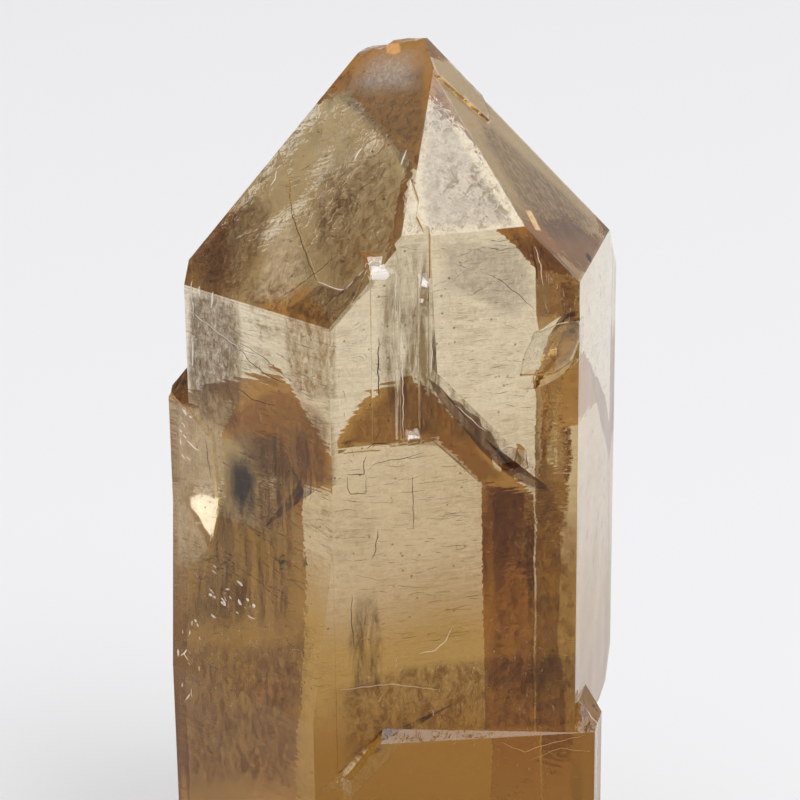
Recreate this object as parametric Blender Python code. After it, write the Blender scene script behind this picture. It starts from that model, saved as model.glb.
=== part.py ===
"""Citrine crystal: a natural quartz point, standing on a flat cut base.

Quartz grows as a six-sided prism closed by six sloping faces. Every crystal face has the same
angles, so each crystal here is a block cut by planes: upright prism faces at 60 degree steps and
termination faces that lean back by the angle that quartz always shows. The main crystal carries
smaller crystals in the same orientation, low growth plates and sunken terraces, a few shallow
chips, and a rough broken tip.

Frame: metres, +Z up along the crystal's long axis, the widest front prism face looking along -Y,
origin at the bottom centre of the bounding box.
"""

import math
from collections import namedtuple

import bmesh
import bpy
from mathutils import Matrix, Vector, noise

MM = 0.001

# Azimuths are in degrees around the long axis: 0 looks along -Y and 90 looks along +X.
LEAN = 38.2          # degrees that a termination face's normal rises above the horizontal
HEIGHT = 190.0       # taller than the crystal ever is, for the raw block
BLOCK = 60.0         # half width of the raw block

# Every added block starts below the base, each at its own height, so that no two undersides
# coincide, and one cutter takes them all off at the base.
START = {"back_neighbour": -4.0, "left_neighbour": -1.0, "swell": -2.0, "front_neighbour": -3.0}
CUTTER_DEPTH = 20.0  # how far that cutter reaches down

# One pair of crystal faces: the prism face's distance from the axis, and the height of the
# shoulder where the termination face above it starts (None leaves that face out), in mm.
# A turn other than zero, in degrees, turns the termination face alone around the long axis.
Side = namedtuple("Side", "azimuth distance shoulder turn", defaults=(None, 0.0))

MAIN = {
    "left_front": Side(-60, 37.2, 135.0),
    "front": Side(0, 36.0, 149.2),
    "right_front": Side(60, 35.3, 138.8),
    "right_back": Side(120, 31.3, 130.3),
    "back": Side(182, 19.5, 151.0),
    "left_back": Side(-120, 30.5, 138.8),
}

# A crystal that grew beside the main one on its left edge.
LEFT_NEIGHBOUR_TOP = 119.0
LEFT_NEIGHBOUR_OUTSIDE = Side(-120, 34.5, 116.0)
LEFT_NEIGHBOUR = [
    LEFT_NEIGHBOUR_OUTSIDE,
    Side(-60, 37.6, 114.0),
    Side(0, 9.0),
    Side(60, -12.0),
    Side(182, 19.0, 118.0),
]

# A stout crystal that grew on the back of the main one and reaches two thirds of the way up.
BACK_NEIGHBOUR_TOP = 115.0
BACK_NEIGHBOUR = [
    Side(186, 31.0, 98.0),
    Side(120, 31.0, 87.9),
    Side(-120, 30.2, 91.0),
    Side(0, 14.0),
    Side(60, 20.0),
    Side(-60, 22.0),
]

# The foot of the left front face swells outwards below the swell's upper edge.
SWELL_TOP = 96.0
SWELL_BOTTOM = 66.0
SWELL_LID = 2.0      # the raw block ends this far above the swell's upper edge
SWELL_FACE = Side(-60, 40.6)
SWELL = [
    SWELL_FACE,
    Side(-120, 34.8),
    Side(0, 35.8),
    Side(60, 10.0),
    Side(180, 12.0),
]

# A wide, thin crystal across the foot of the front face, turned a little to the right.
FRONT_NEIGHBOUR_TOP = 66.0
FRONT_NEIGHBOUR = [
    Side(-60, 36.6, 55.7),
    Side(2.5, 36.95, 59.6, 5.5),
    Side(60, 38.5, 57.5),
    Side(120, 8.5),
    Side(180, -10.0),
]

# Slim columns on the front face, each with its own small termination face above and fading into
# the main face below: left and right edge along the face, height of the shoulder, height of the
# termination face, how far the column stands proud, and its length, in mm.
Column = namedtuple("Column", "left right shoulder cap proud length")
COLUMNS = [
    Column(-15.3, -11.4, 143.8, 2.4, 0.55, 34.0),
    Column(-9.4, -7.2, 115.2, 1.4, 0.45, 16.0),
    Column(-7.2, -5.6, 141.0, 2.0, 0.35, 26.0),
]
COLUMN_ROOT = 6.0    # how deep a column's back lies inside the main crystal

# Outlines on a crystal face: (across the face, height) in mm, counted from the face's middle.
Outline = namedtuple("Outline", "side on_tip points step")
LEFT_PANE = Outline("left_front", False,
                    [(-22, 116), (-13, 113.5), (-8.5, 110), (-7, 98), (-9, 90), (-13, 81), (-22, 69)],
                    0.8)
LEFT_TERRACE = Outline("left_front", True,
                       [(-22, 134), (22, 134), (22, 145), (19.4, 140.7), (13.5, 140.7), (4, 147),
                        (0, 150), (-2, 152.5), (-8, 156.5), (-22, 156.5)], 0.25)
RIGHT_TERRACE = Outline("right_front", True,
                        [(-17, 171.8), (-8.9, 161.4), (-6.5, 162.0), (-3.5, 165.0), (3, 165.3),
                         (3, 178), (-17, 178)], 0.5)
SUNKEN = [
    # the strip of the front termination face beyond its jagged edge
    Outline("front", True,
            [(-14, 148), (-5.4, 148), (-6.8, 152), (-5.9, 154), (-6.5, 158), (-14, 158)], 0.7),
    # the long groove between the columns
    Outline("front", False,
            [(-11, 152), (-5.2, 152), (-5.4, 128), (-6.4, 115), (-10.4, 115), (-10.6, 140)], 1.0),
    # the foot of the right front face, where the face ends in a step
    Outline("right_front", False,
            [(-22, 54), (-12, 54.5), (4, 51.5), (11, 52), (16.5, 58), (24, 64), (24, -5), (-22, -5)], 2.5),
]
HULL_GAP = 0.03      # a plate ends this far inside the neighbouring face, so that they don't coincide
OUTLINE_REACH = 4.0  # how far a plate reaches into the crystal, and a cutter out of it

# Shallow shell-shaped chips on the front face: middle (across, height), half length, half width,
# depth, and the turn of the long axis in degrees.
Chip = namedtuple("Chip", "across height half_length half_width depth turn")
CHIPS = [
    Chip(16.0, 127.8, 9.0, 4.4, 0.9, 38.0),
    Chip(8.0, 109.8, 3.0, 2.4, 0.6, 20.0),
]

# The broken tip: a rough surface that falls away to the back and the left.
TIP_FRONT_HEIGHT = 175.2    # its height at the front ridge
TIP_RIDGE = (5.0, -9.5)     # where that ridge is, (x, y)
TIP_FALL = (0.16, -0.26)    # rise per mm towards +X and towards +Y
TIP_ROUGHNESS = 0.9         # height of its lumps
TIP_LUMP = 3.2              # width of its lumps
TIP_FRACTAL = (0.6, 2.0, 4) # roughness, lacunarity and octaves of the lumps
TIP_CELLS = 22              # cells along each side of that surface
TIP_HALF = 26.0             # half its width
TIP_LID = 10.0              # how far the cutter reaches above the raw block

CHIP_BULGE = 3.0            # half the thickness of a chip's ellipsoid, as a multiple of its depth
CHIP_SEGMENTS, CHIP_RINGS = 40, 24

CITRINE_COLOUR = (0.56, 0.38, 0.17, 1.0)
CITRINE_ROUGHNESS = 0.03
QUARTZ_INDEX = 1.544


def direction(azimuth, rise=0.0):
    """Unit vector that looks away from the axis at an azimuth and a rise, both in degrees."""
    a, r = math.radians(azimuth), math.radians(rise)
    return Vector((math.sin(a) * math.cos(r), -math.cos(a) * math.cos(r), math.sin(r)))


def across(azimuth):
    """Unit vector to the right along a face, as seen from in front of it."""
    a = math.radians(azimuth)
    return Vector((math.cos(a), math.sin(a), 0.0))


def swell_slope():
    """The plane that brings the swell's outer face back to the left front face at its upper edge."""
    face = MAIN["left_front"]
    rise = math.atan((SWELL_FACE.distance - face.distance) / (SWELL_TOP - SWELL_BOTTOM))
    start = direction(face.azimuth) * face.distance + Vector((0, 0, SWELL_TOP))
    return start, direction(face.azimuth, math.degrees(rise))


def side_planes(side):
    """The one or two planes of a side: a point on each, and its outward normal."""
    foot = direction(side.azimuth) * side.distance
    planes = [(foot, direction(side.azimuth))]
    if side.shoulder is not None:
        shoulder = foot + Vector((0, 0, side.shoulder))
        planes.append((shoulder, direction(side.azimuth + side.turn, LEAN)))
    return planes


def on_face(side, u, height, on_tip):
    """A point on a side's prism face, or on its termination face, from its two coordinates."""
    reach = side.distance
    if on_tip:
        reach -= (height - side.shoulder) * math.tan(math.radians(LEAN))
    return direction(side.azimuth) * reach + across(side.azimuth) * u + Vector((0, 0, height))


def new_object(name, bm):
    """Turn a bmesh in millimetres into a named object in metres."""
    bmesh.ops.scale(bm, vec=(MM, MM, MM), verts=bm.verts)
    bmesh.ops.recalc_face_normals(bm, faces=bm.faces)
    mesh = bpy.data.meshes.new(name)
    bm.to_mesh(mesh)
    bm.free()
    obj = bpy.data.objects.new(name, mesh)
    bpy.context.scene.collection.objects.link(obj)
    return obj


def keep_behind(bm, planes):
    """Cut a closed bmesh by planes and close each cut: what is left lies behind every plane."""
    for point, normal in planes:
        everything = bm.verts[:] + bm.edges[:] + bm.faces[:]
        cut = bmesh.ops.bisect_plane(bm, geom=everything, dist=1e-5, plane_co=point,
                                     plane_no=normal, clear_outer=True)
        rim = [item for item in cut["geom_cut"] if isinstance(item, bmesh.types.BMEdge)]
        if rim:
            bmesh.ops.edgeloop_fill(bm, edges=rim)


def cut_block(name, planes, floor=0.0, top=HEIGHT):
    """A block cut by planes: what is left lies behind every one of them."""
    bm = bmesh.new()
    bmesh.ops.create_cube(bm, size=1.0)
    bmesh.ops.scale(bm, vec=(2 * BLOCK, 2 * BLOCK, top - floor), verts=bm.verts)
    bmesh.ops.translate(bm, vec=(0, 0, (top + floor) / 2), verts=bm.verts)
    keep_behind(bm, planes)
    return new_object(name, bm)


def crystal(name, sides, top=HEIGHT, extra=()):
    """A crystal, or a part of one, from its sides and any extra planes."""
    planes = [plane for side in sides for plane in side_planes(side)] + list(extra)
    return cut_block(name, planes, START.get(name, 0.0), top)


def column(name, spec):
    """A slim upright column on the front face, closed by its own small termination face."""
    front = MAIN["front"]
    cap = Side(front.azimuth, front.distance + spec.proud, spec.shoulder)
    planes = side_planes(cap)
    planes.append((Vector((spec.left, 0, 0)), Vector((-1, 0, 0))))
    planes.append((Vector((spec.right, 0, 0)), Vector((1, 0, 0))))
    planes.append((Vector((0, COLUMN_ROOT - front.distance, 0)), -direction(front.azimuth)))
    foot = spec.shoulder - spec.length
    fade = math.degrees(math.atan(spec.proud / spec.length))
    planes.append((Vector((0, -front.distance, foot)), direction(front.azimuth, -fade)))
    return cut_block(name, planes, foot - COLUMN_ROOT, spec.shoulder + spec.cap)


def slab(name, outline, low, high, hull=()):
    """A flat slab that follows an outline on a face, from low to high above that face.

    The faces of the hull that meet this face at an edge cut the slab off at that edge."""
    side = MAIN[outline.side]
    normal = direction(side.azimuth, LEAN if outline.on_tip else 0.0)
    bm = bmesh.new()
    ring = [bm.verts.new(on_face(side, u, h, outline.on_tip) + normal * low)
            for u, h in outline.points]
    face = bm.faces.new(ring)
    raised = bmesh.ops.extrude_face_region(bm, geom=[face])
    moved = [item for item in raised["geom"] if isinstance(item, bmesh.types.BMVert)]
    bmesh.ops.translate(bm, vec=normal * (high - low), verts=moved)
    planes = [(point - away * HULL_GAP, away) for other in hull
              for point, away in side_planes(other) if away != normal]
    keep_behind(bm, planes)
    return new_object(name, bm)


def chip_cutter(name, spec):
    """A flat ellipsoid that scoops a shallow shell-shaped chip out of the front face."""
    front = MAIN["front"]
    bulge = CHIP_BULGE * spec.depth
    # The ellipsoid is wider than the chip, because only its lowest part dips into the face.
    spread = 1.0 / math.sqrt(1.0 - (1.0 - spec.depth / bulge) ** 2)
    bm = bmesh.new()
    bmesh.ops.create_uvsphere(bm, u_segments=CHIP_SEGMENTS, v_segments=CHIP_RINGS, radius=1.0)
    size = (spec.half_length * spread, bulge, spec.half_width * spread)
    bmesh.ops.scale(bm, vec=size, verts=bm.verts)
    bmesh.ops.rotate(bm, matrix=Matrix.Rotation(math.radians(-spec.turn), 3, "Y"), verts=bm.verts)
    place = on_face(front, spec.across, spec.height, False)
    bmesh.ops.translate(bm, vec=place + direction(front.azimuth) * (bulge - spec.depth), verts=bm.verts)
    return new_object(name, bm)


def tip_cutter(name):
    """A block with a rough, sloping underside that takes the broken tip off."""
    bm = bmesh.new()
    bmesh.ops.create_grid(bm, x_segments=TIP_CELLS, y_segments=TIP_CELLS, size=TIP_HALF)
    for vert in bm.verts:
        fall = (vert.co.x - TIP_RIDGE[0]) * TIP_FALL[0] + (vert.co.y - TIP_RIDGE[1]) * TIP_FALL[1]
        lumps = noise.fractal(vert.co / TIP_LUMP, *TIP_FRACTAL) * TIP_ROUGHNESS
        vert.co.z = TIP_FRONT_HEIGHT + fall + lumps
    lid = bmesh.ops.extrude_face_region(bm, geom=bm.faces[:])
    for item in lid["geom"]:
        if isinstance(item, bmesh.types.BMVert):
            item.co.z = HEIGHT + TIP_LID
    return new_object(name, bm)


def join(target, tool, operation):
    """Boolean: the tool is added to the target or cut from it, and stays as a hidden guide."""
    tool.hide_render = True
    tool.display_type = "WIRE"
    step = target.modifiers.new(tool.name, "BOOLEAN")
    step.operation = operation
    step.solver = "EXACT"
    step.object = tool


def stand_on_origin(obj):
    """Fix the shape that the modifiers give, and move its bounding box's bottom centre to zero."""
    bpy.context.view_layer.update()
    shaped = obj.evaluated_get(bpy.context.evaluated_depsgraph_get())
    mesh = bpy.data.meshes.new_from_object(shaped)
    obj.modifiers.clear()
    obj.data = mesh
    corners = [Vector(c) for c in shaped.bound_box]
    low = Vector(min(c[i] for c in corners) for i in range(3))
    high = Vector(max(c[i] for c in corners) for i in range(3))
    middle = (low + high) / 2
    mesh.transform(Matrix.Translation((-middle.x, -middle.y, -low.z)))
    return middle


def citrine():
    """Clear smoky-golden quartz."""
    mat = bpy.data.materials.new("citrine")
    mat.use_nodes = True
    shader = mat.node_tree.nodes["Principled BSDF"]
    shader.inputs["Base Color"].default_value = CITRINE_COLOUR
    shader.inputs["Roughness"].default_value = CITRINE_ROUGHNESS
    shader.inputs["Metallic"].default_value = 0.0
    shader.inputs["IOR"].default_value = QUARTZ_INDEX
    shader.inputs["Transmission Weight"].default_value = 1.0
    return mat


def build():
    for obj in list(bpy.data.objects):
        bpy.data.objects.remove(obj)

    main = crystal("citrine_crystal", MAIN.values())

    join(main, crystal("back_neighbour", BACK_NEIGHBOUR, BACK_NEIGHBOUR_TOP), "UNION")
    join(main, crystal("left_neighbour", LEFT_NEIGHBOUR, LEFT_NEIGHBOUR_TOP), "UNION")
    join(main, crystal("swell", SWELL, SWELL_TOP + SWELL_LID, [swell_slope()]), "UNION")
    for number, outline in enumerate(SUNKEN):
        join(main, slab(f"sunken_{number}", outline, -outline.step, OUTLINE_REACH), "DIFFERENCE")
    join(main, crystal("front_neighbour", FRONT_NEIGHBOUR, FRONT_NEIGHBOUR_TOP), "UNION")
    for number, spec in enumerate(COLUMNS):
        join(main, column(f"column_{number}", spec), "UNION")
    for name, outline, hull in (("left_pane", LEFT_PANE, [LEFT_NEIGHBOUR_OUTSIDE]),
                                ("left_terrace", LEFT_TERRACE, MAIN.values()),
                                ("right_terrace", RIGHT_TERRACE, MAIN.values())):
        join(main, slab(name, outline, -OUTLINE_REACH, outline.step, hull), "UNION")
    for number, spec in enumerate(CHIPS):
        join(main, chip_cutter(f"chip_{number}", spec), "DIFFERENCE")
    join(main, tip_cutter("tip_break"), "DIFFERENCE")

    join(main, cut_block("base_cut", [], floor=-CUTTER_DEPTH, top=0.0), "DIFFERENCE")

    axis_place = stand_on_origin(main)
    main.data.materials.clear()
    main.data.materials.append(citrine())
    print("crystal axis lies at", [round(-c / MM, 3) for c in axis_place[:2]], "mm from the origin")
    print("size", [round(d / MM, 2) for d in main.dimensions], "mm")


build()
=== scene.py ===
# %% [markdown]
# # A citrine crystal, dressed for the camera
# The frame holds one solid: a quartz point with its growth ledges, standing on a cut base. This
# script reads that solid, gives its faces the relief of real growth, fills it with the colour,
# the flaws and the haze of natural citrine, and lights it as clear stones are photographed.

import math

import bmesh
import bpy
import numpy as np
from mathutils import Matrix, Vector
from mathutils.bvhtree import BVHTree


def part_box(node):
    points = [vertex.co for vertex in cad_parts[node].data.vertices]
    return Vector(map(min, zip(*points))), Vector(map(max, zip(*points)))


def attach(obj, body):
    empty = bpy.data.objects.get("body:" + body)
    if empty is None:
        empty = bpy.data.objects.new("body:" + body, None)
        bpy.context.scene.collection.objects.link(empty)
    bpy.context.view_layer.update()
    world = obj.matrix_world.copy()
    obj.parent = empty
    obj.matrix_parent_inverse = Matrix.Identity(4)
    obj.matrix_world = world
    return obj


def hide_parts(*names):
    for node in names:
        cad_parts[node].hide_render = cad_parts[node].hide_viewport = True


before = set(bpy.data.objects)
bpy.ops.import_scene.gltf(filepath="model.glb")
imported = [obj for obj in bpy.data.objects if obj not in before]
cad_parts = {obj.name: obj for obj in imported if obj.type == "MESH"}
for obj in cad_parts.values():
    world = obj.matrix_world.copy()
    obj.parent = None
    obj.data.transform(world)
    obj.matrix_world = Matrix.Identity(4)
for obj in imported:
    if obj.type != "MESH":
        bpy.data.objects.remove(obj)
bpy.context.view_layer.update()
MM = 0.001
crystal_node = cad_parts["citrine_crystal"]

# %% [markdown]
# Colours are written as sRGB hex, as a colour picker gives them. Blender computes in linear light,
# so one function turns them. One helper adds a node, sets its values and links its inputs.

# %% Small helpers
def linear(hex_colour, alpha=1.0):
    """sRGB hex to linear RGBA: the standard two-part sRGB curve, undone for each channel."""
    srgb = np.array([int(hex_colour[i:i + 2], 16) for i in (1, 3, 5)]) / 255.0
    light = np.where(srgb <= 0.04045, srgb / 12.92, ((srgb + 0.055) / 1.055) ** 2.4)
    return (*light.tolist(), alpha)


def node(tree, kind, settings=None, **inputs):
    """Add one node: settings are its properties, inputs are values or sockets for its inputs."""
    made = tree.nodes.new(kind)
    for name, value in (settings or {}).items():
        setattr(made, name, value)
    for name, value in inputs.items():
        key = int(name[1:]) if name[1:].isdigit() else name.replace("_", " ")
        socket = made.inputs[key]
        if isinstance(value, bpy.types.NodeSocket):
            tree.links.new(value, socket)
        else:
            socket.default_value = value
    return made


print("citrine gold in linear light:", [round(c, 3) for c in linear("#c8a064")])

# %% [markdown]
# The camera looks down on the crystal by about 20 degrees, from a little left of the front face.
# Both angles follow from the crystal itself: quartz always has the same angles between its faces,
# so only one direction shows every edge where the photograph has it.

# %% Camera
AIM = Vector((2.54, 2.471, 108.0)) * MM       # the point in the middle of the picture
DISTANCE = 500.0 * MM
TURN_LEFT = math.radians(16.36)
LOOK_DOWN = math.radians(20.58)
ROLL = math.radians(-0.69)
MM_PER_PIXEL = 0.175                          # at the aim point
PICTURE = 800
SENSOR = 36.0                                 # sensor width in mm, Blender's own

to_camera = Vector((-math.sin(TURN_LEFT) * math.cos(LOOK_DOWN),
                    -math.cos(TURN_LEFT) * math.cos(LOOK_DOWN), math.sin(LOOK_DOWN)))
lens = bpy.data.cameras.new("camera")
lens.sensor_width = SENSOR
lens.lens = SENSOR * DISTANCE / (PICTURE * MM_PER_PIXEL * MM)
lens.clip_start = 0.01
camera = bpy.data.objects.new("camera", lens)
camera.location = AIM + to_camera * DISTANCE
aimed = to_camera.to_track_quat("Z", "Y").to_matrix().to_4x4()
camera.rotation_euler = (aimed @ Matrix.Rotation(ROLL, 4, "Z")).to_euler()
bpy.context.scene.collection.objects.link(camera)
bpy.context.scene.camera = camera
print("lens", round(lens.lens, 1), "mm at", round(DISTANCE / MM), "mm")

# %% [markdown]
# The crystal's own mesh comes as loose triangles. A copy is welded, its flat faces are made whole
# again, and it is sliced by three families of planes, which leaves each crystal face covered by
# small even cells while every edge stays exactly where it was.

# %% Slice the solid into small cells
CELL = {"x": 1.1 * MM, "y": 1.1 * MM, "z": 0.8 * MM}
AXES = {"x": Vector((1, 0, 0)), "y": Vector((0, 1, 0)), "z": Vector((0, 0, 1))}


def sliced_copy(source, name):
    """A welded copy of a solid, cut by evenly spaced planes across x, y and z."""
    bm = bmesh.new()
    bm.from_mesh(source.data)
    bmesh.ops.remove_doubles(bm, verts=bm.verts, dist=0.002 * MM)
    bmesh.ops.dissolve_limit(bm, angle_limit=math.radians(0.2), verts=bm.verts, edges=bm.edges)
    low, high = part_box("citrine_crystal")
    for number, key in enumerate("xyz"):
        count = int((high[number] - low[number]) / CELL[key])
        for place in np.linspace(low[number], high[number], count + 1)[1:-1]:
            everything = bm.verts[:] + bm.edges[:] + bm.faces[:]
            bmesh.ops.bisect_plane(bm, geom=everything, dist=1e-7,
                                   plane_co=AXES[key] * float(place), plane_no=AXES[key])
    bmesh.ops.triangulate(bm, faces=[f for f in bm.faces if len(f.verts) > 4])
    mesh = bpy.data.meshes.new(name)
    bm.to_mesh(mesh)
    bm.free()
    piece = bpy.data.objects.new(name, mesh)
    bpy.context.scene.collection.objects.link(piece)
    return piece


crystal = sliced_copy(crystal_node, "crystal")
print("crystal surface:", len(crystal.data.polygons), "cells")

# %% [markdown]
# Real crystal faces are never mirrors: growth leaves low broad swells on them, level striations
# across the upright faces, and small hills on the sloping ones. Seen through clear stone even a
# slope of one degree bends an edge into a wavy line, so this relief is real geometry.

# %% Relief of growth
# Each kind of relief is a sum of noises: height in mm, spacing in mm, seed.
SWELLS = ((0.10, 14.0, 1), (0.05, 6.0, 2))
LEVEL_LINES = ((0.040, 4.3, 3), (0.014, 2.3, 4))
HILLS = ((0.06, 4.5, 5), (0.02, 2.8, 6))
SHARDS = ((0.30, 1.7, 8), (0.15, 1.0, 9))         # on the broken tip
TIP_FROM = 170.0                       # mm above the base
SLOPE = 38.2                           # rise of the six end faces, in degrees
SAME_FACE = math.radians(4.0)          # cells that meet at less than this lie on one face
CALM_EDGE = 2.0 * MM                   # next to an edge the relief dies away
ON_BASE = 0.01 * MM


def lattice_noise(points, cell, seed):
    """Smooth noise from -1 to 1: random values on a cubic lattice, blended by a cubic ease."""
    grid = points / cell
    base = np.floor(grid)
    part = grid - base
    ease = part * part * (3.0 - 2.0 * part)
    total = np.zeros(len(points))
    for corner in np.ndindex(2, 2, 2):
        at = base + corner
        phase = at @ np.array([127.1, 311.7, 74.7]) + seed * 19.19
        value = np.modf(np.sin(phase) * 43758.5453)[0]
        weight = np.prod(np.where(np.array(corner) == 1, ease, 1.0 - ease), axis=1)
        total += value * weight
    return total


def mesh_arrays(mesh):
    """Corner points, edges, and the area-weighted normal of every vertex, as arrays."""
    points = np.empty(len(mesh.vertices) * 3)
    mesh.vertices.foreach_get("co", points)
    edges = np.empty(len(mesh.edges) * 2, dtype=np.int64)
    mesh.edges.foreach_get("vertices", edges)
    normals = np.empty(len(mesh.vertices) * 3)
    mesh.vertices.foreach_get("normal", normals)
    return points.reshape(-1, 3), edges.reshape(-1, 2), normals.reshape(-1, 3)


def distance_to_sharp_edges(mesh, points, edges, sharp_angle, rings=12):
    """Distance along the mesh from each vertex to the nearest sharp edge, spread ring by ring."""
    face_normals = np.empty(len(mesh.polygons) * 3)
    mesh.polygons.foreach_get("normal", face_normals)
    face_normals = face_normals.reshape(-1, 3)
    loop_edge = np.empty(len(mesh.loops), dtype=np.int64)
    mesh.loops.foreach_get("edge_index", loop_edge)
    face_size = np.empty(len(mesh.polygons), dtype=np.int64)
    mesh.polygons.foreach_get("loop_total", face_size)
    loop_face = np.repeat(np.arange(len(mesh.polygons)), face_size)
    total = np.zeros((len(edges), 3))
    np.add.at(total, loop_edge, face_normals[loop_face])
    # Two unit normals at angle t add up to a length of 2 cos(t / 2).
    sharp = np.linalg.norm(total, axis=1) < 2.0 * math.cos(sharp_angle / 2.0)
    reach = np.full(len(points), 1.0)
    reach[edges[sharp].ravel()] = 0.0
    length = np.linalg.norm(points[edges[:, 0]] - points[edges[:, 1]], axis=1)
    for _ in range(rings):
        np.minimum.at(reach, edges[:, 0], reach[edges[:, 1]] + length)
        np.minimum.at(reach, edges[:, 1], reach[edges[:, 0]] + length)
    return reach


def relief_of(points, layers):
    """Height times noise, added up over the layers."""
    return sum(height * lattice_noise(points, spacing, seed) for height, spacing, seed in layers)


def growth_relief(piece):
    """Move each vertex along its normal: broad swells, level striations and small hills."""
    mesh = piece.data
    points, edges, normals = mesh_arrays(mesh)
    reach = distance_to_sharp_edges(mesh, points, edges, SAME_FACE)
    upright = 1.0 - np.clip(np.abs(normals[:, 2]) / 0.3, 0.0, 1.0)
    mm = points / MM
    drawn_out = mm * np.array([0.18, 0.18, 1.0])
    strength = np.clip(0.6 + 1.1 * lattice_noise(mm, 11.0, 10), 0.1, 1.6)
    lines = strength * relief_of(drawn_out, LEVEL_LINES)
    height = relief_of(mm, SWELLS) + np.where(upright > 0.5, lines, relief_of(mm, HILLS))
    off_slope = np.abs(normals[:, 2] - math.sin(math.radians(SLOPE))) > 0.06
    height = np.where((mm[:, 2] > TIP_FROM) & off_slope, relief_of(mm, SHARDS), height)
    height = np.where(points[:, 2] < ON_BASE, 0.0, height * np.clip(reach / CALM_EDGE, 0.0, 1.0))
    moved = points + normals * (height * MM)[:, None]
    mesh.vertices.foreach_set("co", moved.ravel())
    mesh.attributes.new("upright", "FLOAT", "POINT").data.foreach_set("value", upright)
    mesh.shade_smooth()
    mesh.set_sharp_from_angle(angle=SAME_FACE)
    mesh.update()
    return float(np.abs(height).max())


print("highest relief in mm:", round(growth_relief(crystal), 3))

# %% [markdown]
# Each face of a quartz crystal grew and was etched in its own way: the sloping faces are wrinkled,
# the upright ones are ruled with level lines, and the root is cloudy. Every vertex therefore
# carries a few numbers from 0 to 1, which the material reads: how etched it is, how milky, and
# how deep the brown gold is there. That gold is smoke in the stone together with painted shade,
# darker towards the bottom.

# %% Paint the state of each face onto its vertices
def face_direction(azimuth, rise):
    """Unit normal of a face: turned by azimuth from the front, tipped up by rise, in degrees."""
    turn, tip = math.radians(azimuth), math.radians(rise)
    return np.array([math.sin(turn) * math.cos(tip), -math.cos(turn) * math.cos(tip), math.sin(tip)])


def ramp(value, start, end):
    """0 before start, 1 after end, with a cubic ease between them."""
    part = np.clip((value - start) / (end - start), 0.0, 1.0)
    return part * part * (3.0 - 2.0 * part)


FACE_STATE = {                         # face: (azimuth, rise, etched, milky)
    "left end face": (-60, SLOPE, 1.0, 0.55),
    "front end face": (0, SLOPE, 2.2, 0.60),
    "right end face": (60, SLOPE, 0.7, 0.25),
    "left front face": (-60, 0, 0.9, 0.30),
    "front face": (0, 0, 0.65, 0.10),
    "right front face": (60, 0, 0.25, 0.55),
}
REST_STATE = (0.4, 0.1)                # the faces at the back
FACE_SPREAD = math.cos(math.radians(14.0))        # normals closer than 14 degrees belong to a face
SMOKY_RIGHT_END = 0.9                  # the right end face is dark with smoke all over
SMOKY_LEFT_SHARE = 0.55                # the left front face less than the others


def paint_faces(piece):
    """Etched and milky come from the face a vertex lies on; smoke and painted shade, darker towards the
    bottom, come from its height.
    """
    mesh = piece.data
    points, _, normals = mesh_arrays(mesh)
    mm = points / MM
    etched = np.full(len(points), REST_STATE[0])
    milky = np.full(len(points), REST_STATE[1])
    for azimuth, rise, etch, milk in FACE_STATE.values():
        on_face = normals @ face_direction(azimuth, rise) > FACE_SPREAD
        etched[on_face] = etch
        milky[on_face] = milk
    etched *= np.clip(0.8 + 0.9 * lattice_noise(mm, 9.0, 11), 0.2, 1.6)
    # Painted shade: the brown gold deepens from 122 mm down to 88 mm and again from 78 mm down to 58 mm.
    height = mm[:, 2] + 3.0 * lattice_noise(mm, 12.0, 7)
    smoke_and_shade = 0.40 * ramp(height, 122.0, 88.0) + 0.60 * ramp(height, 78.0, 58.0)
    smoke_and_shade[normals @ face_direction(60, SLOPE) > FACE_SPREAD] = SMOKY_RIGHT_END
    smoke_and_shade[normals @ face_direction(-60, 0) > FACE_SPREAD] *= SMOKY_LEFT_SHARE
    for name, value in (("etched", etched), ("milky", milky), ("smoke_and_shade", smoke_and_shade)):
        mesh.attributes.new(name, "FLOAT", "POINT").data.foreach_set("value", value)
    return smoke_and_shade


print("smoky share of the vertices:", round(float(paint_faces(crystal).mean()), 2))

# %% [markdown]
# The skin of a quartz face has two kinds of unevenness: wrinkles about 2 mm across on the sloping
# faces, and level lines about 1 mm apart on the upright ones. A smooth version of them bends light
# as a bump. A fine version says where the face is etched. In some patches it is frosted as well.

# %% Unevenness of the skin
BUMP_HEIGHT = 0.08 * MM
FROST_ROUGHNESS = 0.04


def face_attribute(tree, name):
    """A number that paint_faces or growth_relief left on the vertices."""
    return node(tree, "ShaderNodeAttribute", {"attribute_name": name}).outputs["Fac"]


def skin_height(tree, mm, fine):
    """Wrinkles, mixed with level lines by how upright the face is."""
    ruled_place = node(tree, "ShaderNodeMapping", Vector=mm, Scale=(0.14, 0.14, 1.1))
    wrinkles = node(tree, "ShaderNodeTexNoise", Vector=mm, Scale=0.55, Detail=4.5 if fine else 2.5,
                    Roughness=0.8 if fine else 0.5, Distortion=0.9)
    ruled = node(tree, "ShaderNodeTexNoise", Vector=ruled_place.outputs[0], Scale=1.0,
                 Detail=4.5 if fine else 1.5, Roughness=0.8 if fine else 0.5)
    share = node(tree, "ShaderNodeMath", {"operation": "MULTIPLY"}, _0=face_attribute(tree, "upright"),
                 _1=0.55 if fine else 0.9)
    height = node(tree, "ShaderNodeMix", Factor=share.outputs[0], A=wrinkles.outputs["Fac"],
                  B=ruled.outputs["Fac"])
    return height.outputs["Result"]


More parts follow.
